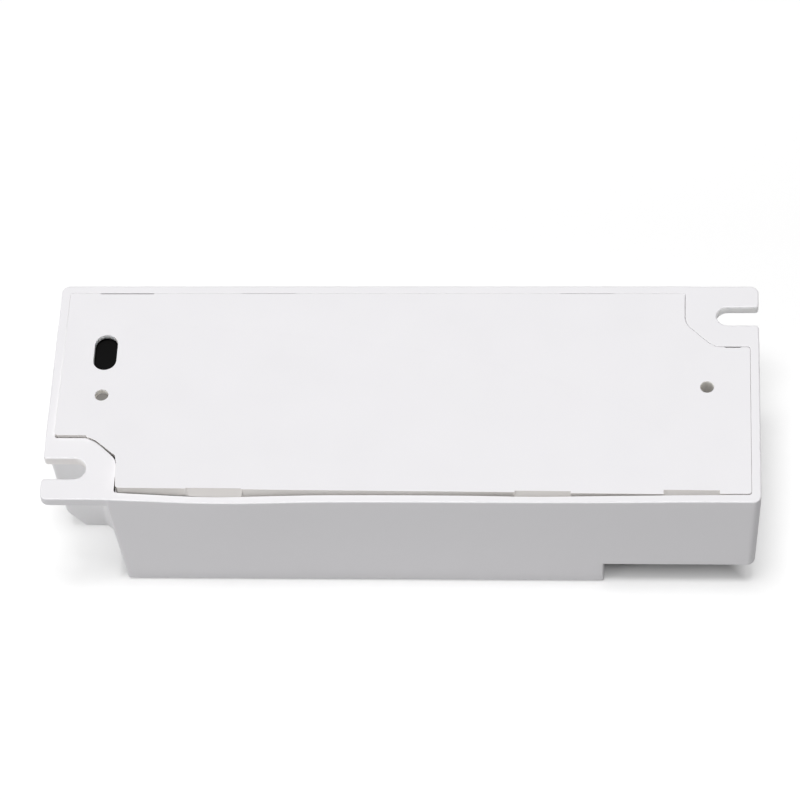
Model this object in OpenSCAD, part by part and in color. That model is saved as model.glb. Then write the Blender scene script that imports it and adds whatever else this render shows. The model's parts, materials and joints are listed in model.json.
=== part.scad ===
// LED driver in a moulded housing, lying on its top with the mounting base upward.
// X runs along the housing from the output end to the mains end, Y across it, and
// Z from the face that it lies on to the mounting plane. Lengths are millimetres.

/* [Housing] */
// Length over the mounting ears
housing_l = 125; // [118:1:150]
// Width at the mounting plane
housing_w = 45.6; // [41.2:0.2:60]
// Height from the top to the mounting plane
housing_h = 28; // [25.5:0.5:36]
// Thickness of the side and end walls
wall = 2.3; // [2.1:0.1:2.6]
// Thickness of the housing's top
roof = 2.2; // [2:0.1:2.8]
// Draft of the outer walls in degrees
draft = 2; // [0.5:0.25:3]
// Radius of the upright corners
corner_r = 1.4; // [0.8:0.1:2]
// Radius of the edge around the top
top_edge_r = 0.8; // [0.4:0.1:1.2]
// Length of the slope at the output end
slope_l = 3.2; // [2:0.1:4]
// Height of the slope at the output end
slope_h = 5.6; // [4:0.1:7]
// Depth of the step over the mains terminals
step_h = 6.2; // [4:0.1:7]
// Length of the step over the mains terminals
step_l = 27.3; // [26.5:0.1:30]

/* [Mounting ears] */
// Length of an ear along the housing
ear_l = 11.4; // [11:0.1:12.5]
// Width of an ear
ear_w = 11.5; // [11:0.1:12.5]
// Thickness of an ear
ear_t = 2; // [1.6:0.1:3]
// Slant across the inner corner behind an ear
ear_slant = 4; // [2:0.1:5]
// Radius of an ear's outer corner
ear_r = 1.4; // [0.8:0.1:3]
// Width of the screw slot
slot_w = 4.2; // [3.2:0.1:5.5]
// Depth of the screw slot from the end of the housing
slot_l = 7.7; // [6:0.1:9]
// Distance of the slot's centre line from the long side
slot_y = 6.4; // [5:0.1:7]
// Radius at the mouth of the slot
slot_mouth_r = 0.6; // [0.2:0.1:1]

/* [Base cover] */
// Thickness of the cover plate
cover_t = 1.5; // [1.2:0.1:2]
// Width of the rim around the cover
rim = 1.6; // [1.4:0.1:1.8]
// Clearance between the cover and the rim
cover_gap = 0.15; // [0.05:0.05:0.3]
// Width of a snap
snap_w = 9.6; // [6:0.2:12]
// Depth of the notch above a snap
snap_d = 0.9; // [0.7:0.05:1.1]
// Thickness of the cover's edge at the foot of a notch
notch_foot = 0.4; // [0.2:0.1:0.8]
// Length of a snap below the plate
snap_l = 3; // [2.4:0.1:3.2]
// Thickness of a snap's tongue
snap_t = 1.2; // [0.8:0.1:1.4]
// How far a snap's barb stands out
barb = 0.8; // [0.5:0.05:0.9]
// Snap nearest to the plain corner, from the end
snap_near = 11.9; // [10:0.1:15]
// Middle snap, from the same end
snap_middle = 37.5; // [32:0.5:42]
// Snap nearest to the ear, from the ear's end
snap_far = 30.5; // [22:0.5:36]
// Width of the oval window
window_w = 4.1; // [3:0.1:6]
// Length of the oval window
window_l = 7.4; // [6.5:0.1:9]
// Centre of the oval window from the output end
window_x = 9; // [8:0.1:11]
// Centre of the oval window from the middle line
window_y = 8; // [7:0.1:10]

/* [Terminal covers] */
// Length of a terminal bay from the end of the housing
bay_l = 25; // [24:0.5:25.5]
// Thickness of a terminal cover's plate
hatch_t = 1.4; // [1:0.1:1.5]
// Width of the ledge under a terminal cover
hatch_lip = 1.2; // [0.8:0.1:1.3]
// Clearance around a terminal cover
hatch_gap = 0.2; // [0.1:0.05:0.3]
// Screw of a terminal cover, from the end of the housing
boss_x = 9.2; // [8.9:0.1:10]
// Screw of a terminal cover, from the middle line
boss_y = 1.1; // [0:0.1:2]
// Depth of the round hole over each boss, at the output end and at the mains end
mark_depths = [1.2, 3.4]; // [0.6:0.1:4]
// Outer diameter of the screw boss
boss_d = 5.6; // [4.6:0.1:6]
// Core diameter of the cover screw
screw_d = 2.3; // [1.8:0.1:2.6]
// Head diameter of the cover screw
screw_head_d = 5; // [4.2:0.1:5.4]
// Head height of the cover screw
screw_head_h = 1.8; // [1.4:0.1:2.2]
// Length of the cover screw below its head
screw_l = 12; // [8:0.5:13]
// Width of a cable entry
entry_w = 12; // [8:0.5:13]
// Height of a cable entry
entry_h = 6.5; // [5:0.25:7]
// Centre of a cable entry from the middle line
entry_y = 9.5; // [8:0.25:11]

/* [Circuit board] */
// Thickness of the board
board_t = 1.6; // [1:0.1:2]
// Space between the board and the base cover
board_space = 4; // [3.6:0.1:5]
// Clearance around the board
board_gap = 0.5; // [0.3:0.1:0.8]
// Width of a rib that carries the board
rib_w = 2.4; // [1.6:0.2:4]
// How far a rib stands out from the wall
rib_d = 1.8; // [1.4:0.1:1.9]
// Diameter of a pillar that holds the board down
pillar_d = 2.4; // [2:0.2:3.2]
// Thickness of the insulating sheet
sheet_t = 0.4; // [0.2:0.1:0.8]
// Diameter of a component lead
lead_d = 0.8; // [0.6:0.05:1]
// Length of a lead past the board
lead_out = 1.2; // [0.8:0.1:1.8]

/* [Components] */
// Poles of the mains terminal block
input_poles = 3; // [2:1:3]
// Poles of the output terminal block
output_poles = 4; // [2:1:4]
// Pitch of the terminals
pole_pitch = 5; // [4:0.1:5.2]
// Length of a terminal block along the housing
block_l = 10; // [8:0.5:10.5]
// Height of a terminal block
block_h = 9.4; // [8:0.2:11]
// Diameter of a terminal's screw
clamp_d = 3; // [2.4:0.1:3.2]
// Diameter of the fuse
fuse_d = 8.4; // [7:0.1:9]
// Height of the fuse
fuse_h = 8; // [5:0.5:10]
// Diameter of the varistor
varistor_d = 8; // [6:0.5:9]
// Diameter of the inrush thermistor
thermistor_d = 8; // [6:0.5:9]
// Diameter of the safety capacitor
safety_d = 7.5; // [6:0.5:8.5]
// Thickness of the disc components
disc_t = 3.8; // [3:0.1:4.2]
// Length, width and height of the mains filter capacitor
filter_cap = [6, 13, 9]; // [5:0.5:14]
// Length, width and thickness of the filter choke's core
choke_core_size = [13, 16, 5]; // [4:0.5:17]
// Length, width and thickness of the boost inductor's core
boost_core_size = [13, 16, 5]; // [4:0.5:17]
// Length, width and thickness of the transformer's core
trafo_core_size = [22, 19, 6]; // [5:0.5:23]
// Thickness, width and height of the bridge rectifier
bridge_size = [3.4, 9.4, 9]; // [3:0.2:10]
// Diameter of the bulk capacitor
bulk_d = 13; // [10:0.5:13.5]
// Length of the bulk capacitor
bulk_l = 24; // [16:0.5:25]
// Diameter of an output capacitor
output_cap_d = 10; // [8:0.5:10.5]
// Height of an output capacitor
output_cap_h = 15; // [10:0.5:16.5]
// Diameter of the output choke
drum_d = 7.6; // [6:0.2:8]
// Height of the output choke
drum_h = 9; // [6:0.5:11]

/* [Hidden] */

$fn = 48;
arc_steps = 6;
past = 1;
half_l = housing_l / 2;
half_w = housing_w / 2;
lean = tan(draft);

// Heights, from the face that the driver lies on
ear_z = housing_h - ear_t;
ledge_z = housing_h - cover_t;
cover_mid = housing_h - cover_t / 2;
sheet_z = ledge_z - sheet_t;
solder_z = ledge_z - board_space;
board_z = solder_z - board_t;

// How far a drafted wall stands inside its line at the mounting plane
function drawn_in(z) = max(0, ear_z - z) * lean;

// Plan of the body: a rectangle with the two ear corners cut away
mouth_r = 0.7;
slant_r = 1;
ear_x = half_l - ear_l;
ear_y = half_w - ear_w;
half_plan = [
    [half_l, -half_w], [half_l, ear_y],
    [ear_x + ear_slant, ear_y], [ear_x, ear_y + ear_slant], [ear_x, half_w],
];
body_plan = concat(half_plan, [for (p = half_plan) -p]);
body_radii = [for (end = [0, 1]) each [corner_r, mouth_r, slant_r, slant_r, mouth_r]];
hollow_r = 0.5;
hollow_radii = [for (end = [0, 1]) each [hollow_r, hollow_r, slant_r + wall, slant_r + wall, hollow_r]];

// Points of an outline with rounded corners, drawn in by an even margin
function unit(v) = v / norm(v);
function left_of(v) = [-v.y, v.x];
function turn(a, b) = a.x * b.y - a.y * b.x;
function rounded(plan, radii, inset = 0) = [
    for (i = [0:len(plan) - 1])
    let (
        before = unit(plan[i] - plan[(i + len(plan) - 1) % len(plan)]),
        after = unit(plan[(i + 1) % len(plan)] - plan[i]),
        side = sign(turn(before, after)),
        miter = (left_of(before) + left_of(after)) / (1 + before * after),
        centre = plan[i] + (inset + side * radii[i]) * miter,
        start = atan2(before.x, -before.y),
        sweep = atan2(turn(before, after), before * after)
    )
    for (k = [0:(radii[i] > 0 ? arc_steps : 0)])
    let (a = start + sweep * k / arc_steps)
    centre - side * radii[i] * [cos(a), sin(a)]
];
function body_outline(inset) = rounded(body_plan, body_radii, inset);
function hollow_outline(inset) = rounded(body_plan, hollow_radii, inset);
function box_plan(x0, x1, y0, y1) = [[x0, y0], [x1, y0], [x1, y1], [x0, y1]];
function even(r) = [r, r, r, r];

// Solid through a stack of rings, each a height and an outline of as many points
module loft(rings) {
    n = len(rings[0][1]);
    top = len(rings) - 1;
    sides = [
        for (k = [0:top - 1]) for (i = [0:n - 1])
        let (j = (i + 1) % n)
        [k * n + i, (k + 1) * n + i, (k + 1) * n + j, k * n + j]
    ];
    floor_face = [for (i = [0:n - 1]) i];
    top_face = [for (i = [0:n - 1]) top * n + n - 1 - i];
    points = [for (ring = rings) for (p = ring[1]) [p.x, p.y, ring[0]]];
    polyhedron(points, concat([floor_face], sides, [top_face]));
}

// Plate between two heights
module slab(z0, z1) {
    translate([0, 0, z0]) linear_extrude(z1 - z0) children();
}

// Profile in X and Z, drawn out across the housing between two values of Y
module across(y0, y1) {
    translate([0, y1, 0]) rotate([90, 0, 0]) linear_extrude(y1 - y0) children();
}

// Parts of the mains end are drawn as for the output end and turned round
module mains_end() {
    rotate([0, 0, 180]) children();
}

// Places of the terminal bays, in the directions of the output end
step_x = half_l - step_l;
roof_inset = wall + drawn_in(roof);
bay_margin = 0.5;
bay_y0 = -ear_y + roof_inset + bay_margin;
bay_y1 = half_w - roof_inset - bay_margin;
bay_x = -half_l + bay_l;
step_bay_x = -half_l + wall + drawn_in(step_h + roof) + bay_margin + hatch_lip;
slope_foot = [-half_l + drawn_in(0) + slope_l, 0];
slope_head = [-half_l + drawn_in(slope_h), slope_h];
slope_out = left_of(unit(slope_foot - slope_head));
slope_miter = ([0, 1] + slope_out) / (1 + slope_out.y);
boss_at = [-half_l + boss_x, -boss_y];

// Recess that takes the head of a cover screw
head_gap = 0.3;
head_sunk = 0.4;
cup_wall = 1.2;
cup_floor = 1.4;
cup_depth = head_sunk + screw_head_h;
cup_d = screw_head_d + 2 * (head_gap + cup_wall);
cup_h = cup_depth + cup_floor;
bore_d = screw_d + 0.1;

// Skin of the output end in X and Z: the flat top and the slope, to a depth
function end_skin(depth, x, gap = 0) = [
    [x - gap, 0], slope_foot, slope_head - gap * unit(slope_head - slope_foot),
    slope_head - gap * unit(slope_head - slope_foot) + depth * slope_out,
    slope_foot + depth * slope_miter, [x - gap, depth],
];

// Outer form with the step over the mains terminals and the slope at the output end. The
// lowest band of the rounded edge runs on below the resting plane, which then cuts it.
edge_steps = [30, 60, 90];
edge_run = (1 - cos(edge_steps[0])) / sin(edge_steps[0]);

module body_form() {
    low = [-past * edge_run, body_outline(drawn_in(0) + top_edge_r + past)];
    edge = [
        for (a = edge_steps)
        let (z = top_edge_r * (1 - cos(a)))
        [z, body_outline(drawn_in(z) + top_edge_r * (1 - sin(a)))]
    ];
    difference() {
        loft(concat([low], edge, [[ear_z, body_outline(0)], [housing_h + past, body_outline(0)]]));
        under(0);
        step_space(0);
        slope_space(0);
    }
}

// Everything below a height
module under(z) {
    slab(-2 * past, z) square([2 * housing_l, 2 * housing_w], center = true);
}

// What lies outside the step and the slope, moved into the housing by a depth
module step_space(depth) {
    translate([step_x - depth, -half_w - past, -past])
        cube([step_l + depth + past, housing_w + 2 * past, step_h + depth + past]);
}

module slope_space(depth) {
    run = unit(slope_foot - slope_head);
    low = slope_foot + depth * slope_out + 2 * slope_h * run;
    high = slope_head + depth * slope_out - 2 * slope_h * run;
    across(-half_w - past, half_w + past)
        polygon([low, high, [-half_l - 2 * slope_h, high.y], [-half_l - 2 * slope_h, low.y]]);
}

// Space inside the walls
module hollow() {
    difference() {
        loft([
            [0, hollow_outline(wall + drawn_in(0))],
            [ear_z, hollow_outline(wall)],
            [housing_h + past, hollow_outline(wall)],
        ]);
        under(roof);
        difference() {
            step_space(wall);
            slab(step_h + roof, housing_h) square([housing_l, housing_w], center = true);
        }
        slope_space(wall);
    }
}

// Mounting ear at the output end with its open slot, a hair inside the walls and left high
// for the trim
ear_set_back = 0.05;

module ear() {
    lap = rim / 2;
    x0 = -half_l + ear_set_back;
    y0 = -half_w + ear_set_back;
    slot_at = [-half_l + slot_l - slot_w / 2, -half_w + slot_y];
    slot_y0 = slot_at.y - slot_w / 2;
    slot_y1 = slot_at.y + slot_w / 2;
    outline = [
        [x0, y0], [-ear_x + lap, y0], [-ear_x + lap, -ear_y + lap], [x0, -ear_y + lap],
        [x0, slot_y1], [slot_at.x, slot_y1], [slot_at.x, slot_y0], [x0, slot_y0],
    ];
    radii = [ear_r, 0, 0, 0, slot_mouth_r, 0, 0, slot_mouth_r];
    difference() {
        slab(ear_z, housing_h + 2 * past) polygon(rounded(outline, radii));
        translate([slot_at.x, slot_at.y, ear_z - past]) cylinder(d = slot_w, h = ear_t + 4 * past);
    }
}

// Everything above the mounting plane
module trim() {
    slab(housing_h, housing_h + 3 * past) square([2 * housing_l, 2 * housing_w], center = true);
}

// Snaps along the front; those along the back are the same, turned round
snap_xs = [half_l - snap_near, half_l - snap_middle, -half_l + snap_far];
cover_inset = rim + cover_gap;
cover_edge = -half_w + cover_inset;
snap_face = cover_edge + snap_d;
catch_t = 0.8;
catch_gap = 0.1;
barb_z = ledge_z - catch_t - catch_gap;
snap_gap = 0.3;

module each_snap() {
    for (a = [0, 180]) rotate([0, 0, a]) for (x = snap_xs) translate([x, 0, 0]) children();
}

// Room for a snap's barb in the wall, under the ledge
module snap_pocket() {
    translate([-snap_w / 2, snap_face - barb - snap_gap, ledge_z - snap_l - snap_gap])
        cube([snap_w, wall, snap_l - catch_t + snap_gap]);
}

// Ribs along the walls, on which the board lies
front_ribs = [-half_l + 34.7, 0, half_l - 34.5];
bay_rib = half_l - 8.5;

module board_ribs() {
    rib_y = -half_w + wall + drawn_in(board_z);
    for (a = [0, 180]) rotate([0, 0, a]) for (x = concat(front_ribs, [bay_rib])) {
        raised = abs(x) > step_x;
        foot = raised && a == 0 ? step_h + roof / 2 : roof / 2;
        translate([x - rib_w / 2, rib_y - wall / 2, foot]) cube([rib_w, wall / 2 + rib_d, board_z - foot]);
    }
}

// Opening for the cover of a terminal bay: through the roof, with a ledge around it
module slope_bay_opening() {
    across(bay_y0 - hatch_lip, bay_y1 + hatch_lip) polygon(end_skin_cut(hatch_t, bay_x));
    across(bay_y0, bay_y1) polygon(end_skin_cut(2 * wall, bay_x - hatch_lip));
}

// The skin's profile with its outer side carried past the surface
function end_skin_cut(depth, x) =
    let (
        skin = end_skin(depth, x),
        outside = [[x, -past], slope_foot - past * slope_miter, slope_head - past * slope_out]
    )
    concat(outside, [for (i = [3:5]) skin[i]]);

module step_bay_opening() {
    outer = box_plan(step_bay_x - hatch_lip, bay_x, bay_y0 - hatch_lip, bay_y1 + hatch_lip);
    inner = box_plan(step_bay_x, bay_x - hatch_lip, bay_y0, bay_y1);
    slab(step_h - past, step_h + hatch_t) polygon(rounded(outer, even(corner_r)));
    slab(step_h, step_h + 2 * roof) polygon(rounded(inner, even(corner_r)));
}

// Cable entry through an end wall, level with the terminals
entry_z = board_z - block_h / 2 - entry_h / 2;

module cable_entry() {
    plan = box_plan(entry_y - entry_w / 2, entry_y + entry_w / 2, entry_z, entry_z + entry_h);
    translate([-half_l - past, 0, 0]) rotate([90, 0, 90]) linear_extrude(2 * wall + past)
        polygon(rounded(plan, even(corner_r)));
}

module housing() {
    color("whitesmoke") difference() {
        union() {
            difference() {
                union() {
                    body_form();
                    ear();
                    mains_end() ear();
                }
                trim();
                hollow();
                slab(ledge_z, housing_h + 2 * past) polygon(hollow_outline(rim));
            }
            board_ribs();
        }
        each_snap() snap_pocket();
        slope_bay_opening();
        mains_end() step_bay_opening();
        cable_entry();
        mains_end() cable_entry();
    }
}

// Tongue of a snap with its barb, under the plate
module snap() {
    width = snap_w - 2 * snap_gap;
    tip_z = ledge_z - snap_l;
    tip = snap_t / 2;
    profile = [
        [snap_face, cover_mid], [snap_face + snap_t, cover_mid], [snap_face + snap_t, tip_z],
        [snap_face + tip, tip_z], [snap_face - barb, barb_z], [snap_face, barb_z],
    ];
    translate([-width / 2, 0, 0]) rotate([90, 0, 90]) linear_extrude(width) polygon(profile);
}

// Sloped notch in the cover's edge above a snap
module snap_notch() {
    foot = [cover_edge, ledge_z + notch_foot];
    head = [snap_face, housing_h];
    low = 2 * foot - head;
    high = 2 * head - foot;
    translate([-snap_w / 2, 0, 0]) rotate([90, 0, 90]) linear_extrude(snap_w)
        polygon([low, high, [low.x, high.y]]);
}

// Places of the pillars that hold the board down
pillar_x = half_l - 34.2;
pillar_at = [for (x = [-pillar_x, pillar_x]) each [[x, half_w - 6], [x, -half_w + 5.8]]];

module screw_boss(bottom) {
    translate([boss_at.x, boss_at.y, bottom]) cylinder(d = boss_d, h = cover_mid - bottom);
}

// Bore for the screw from below and the blind round hole above it
bore_web = 1.2;
bore_top = housing_h - max(mark_depths) - bore_web;

module boss_bore(bottom, mark_depth) {
    translate([boss_at.x, boss_at.y, bottom - past])
        cylinder(d = bore_d, h = bore_top - bottom + past);
    translate([boss_at.x, boss_at.y, housing_h - mark_depth])
        cylinder(d = bore_d, h = mark_depth + past);
}

module oval_window() {
    translate([-half_l + window_x, window_y]) {
        for (s = [-1, 1]) translate([0, s * (window_l - window_w) / 2]) circle(d = window_w);
        square([window_w, window_l - window_w], center = true);
    }
}

module base_cover() {
    color("whitesmoke") difference() {
        union() {
            slab(ledge_z, housing_h) difference() {
                polygon(hollow_outline(cover_inset));
                oval_window();
            }
            each_snap() snap();
            for (p = pillar_at) translate([p.x, p.y, solder_z])
                cylinder(d = pillar_d, h = cover_mid - solder_z);
            screw_boss(cup_h);
            mains_end() screw_boss(step_h + cup_h);
        }
        each_snap() snap_notch();
        boss_bore(cup_h, mark_depths[0]);
        mains_end() boss_bore(step_h + cup_h, mark_depths[1]);
    }
}

// Black film between the solder side and the cover, cut out for the pillars and bosses
pass_gap = 0.3;

module insulating_sheet() {
    margin = cover_inset + snap_d + snap_t + snap_gap;
    color("black") slab(sheet_z, ledge_z) difference() {
        polygon(hollow_outline(margin));
        for (p = pillar_at) translate(p) circle(d = pillar_d + 2 * pass_gap);
        for (s = [-1, 1]) translate(s * boss_at) circle(d = boss_d + 2 * pass_gap);
    }
}

// Plate and screw cup of a terminal cover
module screw_cup(face_z) {
    translate([boss_at.x, boss_at.y, face_z]) cylinder(d = cup_d, h = cup_h);
}

module screw_cup_bore(face_z) {
    translate([boss_at.x, boss_at.y, face_z - past]) {
        cylinder(d = screw_head_d + 2 * head_gap, h = cup_depth + past);
        cylinder(d = bore_d + 2 * head_gap, h = cup_h + 2 * past);
    }
}

module output_terminal_cover() {
    color("gainsboro") difference() {
        union() {
            across(bay_y0 - hatch_lip + hatch_gap, bay_y1 + hatch_lip - hatch_gap)
                polygon(end_skin(hatch_t, bay_x, hatch_gap));
            screw_cup(0);
        }
        screw_cup_bore(0);
    }
}

module input_terminal_cover() {
    lip = hatch_lip - hatch_gap;
    plan = box_plan(step_bay_x - lip, bay_x - hatch_gap, bay_y0 - lip, bay_y1 + lip);
    color("gainsboro") mains_end() difference() {
        union() {
            slab(step_h, step_h + hatch_t) polygon(rounded(plan, even(corner_r - hatch_gap)));
            screw_cup(step_h);
        }
        screw_cup_bore(step_h);
    }
}

// Screw with a crosshead, driven into a boss from the top of the driver
module cover_screw(face_z) {
    cross = [screw_head_d * 0.6, 0.7];
    cross_depth = screw_head_h / 2;
    translate([boss_at.x, boss_at.y, face_z + head_sunk]) difference() {
        union() {
            cylinder(d = screw_head_d, h = screw_head_h);
            cylinder(d = screw_d, h = screw_head_h + screw_l);
        }
        for (a = [0, 90]) rotate([0, 0, a]) translate([-cross.x / 2, -cross.y / 2, -past])
            cube([cross.x, cross.y, cross_depth + past]);
    }
}

module cover_screws() {
    color("silver") {
        cover_screw(0);
        mains_end() cover_screw(step_h);
    }
}

// Places of the parts on the board: mains parts from the mains end, output parts from the
// other end, and all of them from the middle line
input_block_at = [half_l - 20, -9];
output_block_at = [-half_l + 17.5, 6];
fuse_at = [half_l - 30.5, -13];
varistor_at = [half_l - 28.5, -3.2];
thermistor_at = [half_l - 20.5, 10];
filter_cap_at = [half_l - 29, 10.2];
bridge_at = [half_l - 33.4, -3.8];
choke_at = [half_l - 41.9, 7.9];
boost_at = [half_l - 56.5, 7.9];
bulk_at = [half_l - 49.1, -10.2];
trafo_at = [half_l - 76.5, 4.4];
safety_at = [half_l - 66.6, -12];
opto_at = [half_l - 74.8, -12.2];
output_cap_ats = [for (x = [24.3, 35]) [-half_l + x, -11]];
drum_at = [-half_l + 27, 12];
transistor_at = [half_l - 60.5, -2];
diode_at = [-half_l + 31.5, 2];
chip_ats = [[half_l - 48.5, -1.5], [-half_l + 31.5, -4.6]];

// Leads of each part, from its own place
wire_span = 5;
disc_span = 5;
function pair(span) = [[-span / 2, 0], [span / 2, 0]];
function across_pair(span) = [[0, -span / 2], [0, span / 2]];
function poles(n) = [for (i = [0:n - 1]) [0, (i - (n - 1) / 2) * pole_pitch]];
filter_cap_leads = across_pair(filter_cap.y - 3);
bridge_pitch = 2.4;
bridge_leads = [for (i = [0:3]) [0, (i - 1.5) * bridge_pitch]];
bulk_bend = 1.6;
bulk_leads = [for (s = [-1, 1]) [bulk_l / 2 + bulk_bend, s * wire_span / 2]];
chip_pitch = 1.27;
opto_span = 7.6;
opto_leads = [for (x = [-opto_span / 2, opto_span / 2]) for (y = [-chip_pitch, chip_pitch]) [x, y]];

// Wound parts: a closed core of two E halves around a bobbin
flange_t = 1;
spool_t = 0.8;
wound_gap = 0.15;
choke_leg = 5;
trafo_leg = 6;
function yoke(leg) = leg / 2 + 0.5;
function window(core, leg) = (core.y - 2 * leg) / 2;
function core_lift(core, leg) = window(core, leg) + 0.6;
function spool_l(core, leg) = core.x - 2 * yoke(leg) - 2 * wound_gap;
function wound_leads(core, leg) = [
    for (sx = [-1, 1]) for (sy = [-1, 1])
    [sx * (spool_l(core, leg) - flange_t) / 2, sy * (core.y / 2 - leg / 2 - 1.2)]
];

placed_leads = [
    [input_block_at, poles(input_poles)], [output_block_at, poles(output_poles)],
    [fuse_at, pair(wire_span)], [filter_cap_at, filter_cap_leads], [bridge_at, bridge_leads],
    [varistor_at, across_pair(disc_span)], [thermistor_at, across_pair(disc_span)],
    [choke_at, wound_leads(choke_core_size, choke_leg)],
    [boost_at, wound_leads(boost_core_size, choke_leg)],
    [trafo_at, wound_leads(trafo_core_size, trafo_leg)], [bulk_at, bulk_leads],
    [safety_at, pair(disc_span)], [opto_at, opto_leads],
    for (at = output_cap_ats) [at, pair(wire_span)],
    [drum_at, pair(drum_d / 2)],
];
lead_gap = 0.1;
hole_d = lead_d + 2 * lead_gap;

// Board with a hole for each lead and for the two screw bosses
module circuit_board() {
    color("darkgreen") slab(board_z, solder_z) difference() {
        polygon(hollow_outline(wall + drawn_in(board_z) + board_gap));
        for (part = placed_leads) for (lead = part[1]) translate(part[0] + lead) circle(d = hole_d);
        for (s = [-1, 1]) translate(s * boss_at) circle(d = boss_d + 2 * pass_gap);
    }
}

// Parts hang from the board: drawn standing on it, then turned over
module hang(at) {
    translate([at.x, at.y, board_z]) mirror([0, 0, 1]) children();
}

// Parts on the solder side
module solder_side(at) {
    translate([at.x, at.y, solder_z]) children();
}

module leads(points, rise) {
    for (p = points) translate([p.x, p.y, -board_t - lead_out])
        cylinder(d = lead_d, h = board_t + lead_out + rise);
}

module block(size) {
    translate([-size.x / 2, -size.y / 2, 0]) cube(size);
}

// Moulded case with rounded upright edges
module case_block(size, r) {
    linear_extrude(size.z)
        polygon(rounded(box_plan(-size.x / 2, size.x / 2, -size.y / 2, size.y / 2), even(r)));
}

// Terminal block that faces the end of the housing, with a wire hole and a screw for each pole
clamp_base = 1.5;
clamp_gap = 0.15;
wire_hole_d = 3.2;

module terminal_block(n, facing) {
    width = n * pole_pitch + 1.5;
    difference() {
        case_block([block_l, width, block_h], 0.6);
        for (p = poles(n)) translate([p.x, p.y, 0]) {
            translate([0, 0, clamp_base]) cylinder(d = clamp_d + 2 * clamp_gap, h = block_h);
            translate([0, 0, -past]) cylinder(d = hole_d, h = clamp_base + 2 * past);
            translate([0, 0, block_h / 2]) rotate([0, 90 * facing, 0])
                cylinder(d = wire_hole_d, h = block_l);
        }
    }
}

// Screw of each terminal with its pin to the board
module terminal_clamps(n) {
    slot = [clamp_d + 2, 0.6, 1];
    sunk = 1;
    clamp_h = block_h - clamp_base - sunk;
    difference() {
        union() {
            leads(poles(n), clamp_base + past);
            for (p = poles(n)) translate([p.x, p.y, clamp_base]) cylinder(d = clamp_d, h = clamp_h);
        }
        for (p = poles(n)) translate([p.x, p.y, block_h - sunk - slot.z / 2]) block(slot);
    }
}

module input_terminal_block() {
    color("dimgray") hang(input_block_at) terminal_block(input_poles, 1);
}

module input_terminal_clamps() {
    color("goldenrod") hang(input_block_at) terminal_clamps(input_poles);
}

module output_terminal_block() {
    color("dimgray") hang(output_block_at) terminal_block(output_poles, -1);
}

module output_terminal_clamps() {
    color("goldenrod") hang(output_block_at) terminal_clamps(output_poles);
}

// Radial fuse: a round cap on a thin foot
module fuse() {
    foot_h = 1;
    color("saddlebrown") hang(fuse_at) {
        cylinder(d = fuse_d - 1, h = foot_h);
        translate([0, 0, foot_h]) cylinder(d = fuse_d, h = fuse_h - foot_h);
        leads(pair(wire_span), foot_h);
    }
}

// Coated disc on two leads, standing clear of the board
module disc(d) {
    stand = 1.2;
    round_t = disc_t / 4;
    profile = [
        [0, -disc_t / 2], [d / 2 - round_t, -disc_t / 2], [d / 2, -disc_t / 2 + round_t],
        [d / 2, disc_t / 2 - round_t], [d / 2 - round_t, disc_t / 2], [0, disc_t / 2],
    ];
    translate([0, 0, stand + d / 2]) rotate([90, 0, 0]) rotate_extrude() polygon(profile);
    leads(pair(disc_span), stand + d / 2);
}

module varistor() {
    color("royalblue") hang(varistor_at) rotate([0, 0, 90]) disc(varistor_d);
}

module thermistor() {
    color("darkolivegreen") hang(thermistor_at) rotate([0, 0, 90]) disc(thermistor_d);
}

module safety_capacitor() {
    color("steelblue") hang(safety_at) disc(safety_d);
}

module mains_filter_capacitor() {
    color("khaki") hang(filter_cap_at) {
        case_block(filter_cap, 0.6);
        leads(filter_cap_leads, past);
    }
}

module bridge_rectifier() {
    stand = 1.5;
    bevel = 2;
    half = bridge_size.y / 2;
    high = bridge_size.z;
    face = [[-half, 0], [half, 0], [half, high - bevel], [half - bevel, high], [-half, high]];
    color("dimgray") hang(bridge_at) {
        translate([-bridge_size.x / 2, 0, stand]) rotate([90, 0, 90])
            linear_extrude(bridge_size.x) polygon(face);
        leads(bridge_leads, stand + past);
    }
}

// Core of a wound part, with its middle leg along X
module wound_core(core, leg) {
    opening = window(core, leg);
    translate([0, 0, core_lift(core, leg)]) difference() {
        block(core);
        for (s = [-1, 1]) translate([0, s * (leg + opening) / 2, -past])
            block([core.x - 2 * yoke(leg), opening, core.z + 2 * past]);
    }
}

// Bobbin on the middle leg; its flanges stand on the board and part the windings
module wound_bobbin(core, leg, sections) {
    length = spool_l(core, leg);
    inner = [length + 2 * past, leg + 2 * wound_gap, core.z + 2 * wound_gap];
    tube = [length, inner.y + 2 * spool_t, inner.z + 2 * spool_t];
    flange = [flange_t, core.y - leg - 2 * wound_gap, core.z + 2 * core_lift(core, leg)];
    middle = core_lift(core, leg) + core.z / 2;
    difference() {
        union() {
            translate([0, 0, middle - tube.z / 2]) block(tube);
            for (i = [0:sections])
                translate([(length - flange_t) * (i / sections - 0.5), 0, 0]) block(flange);
        }
        translate([0, 0, middle - inner.z / 2]) block(inner);
    }
    leads(wound_leads(core, leg), past);
}

// Wire around the bobbin, one coil in each section
module wound_wire(core, leg, sections) {
    pitch = (spool_l(core, leg) - flange_t) / sections;
    length = pitch - flange_t - 2 * wound_gap;
    inner = [leg + 4 * wound_gap + 2 * spool_t, core.z + 4 * wound_gap + 2 * spool_t];
    build = window(core, leg) - spool_t - 4 * wound_gap;
    half = inner / 2 + [build, build];
    middle = core_lift(core, leg) + core.z / 2;
    for (i = [0:sections - 1])
        translate([pitch * (i + 0.5 - sections / 2) - length / 2, 0, middle]) rotate([90, 0, 90])
            linear_extrude(length) difference() {
                polygon(rounded(box_plan(-half.x, half.x, -half.y, half.y), even(build)));
                square(inner, center = true);
            }
}

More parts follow.
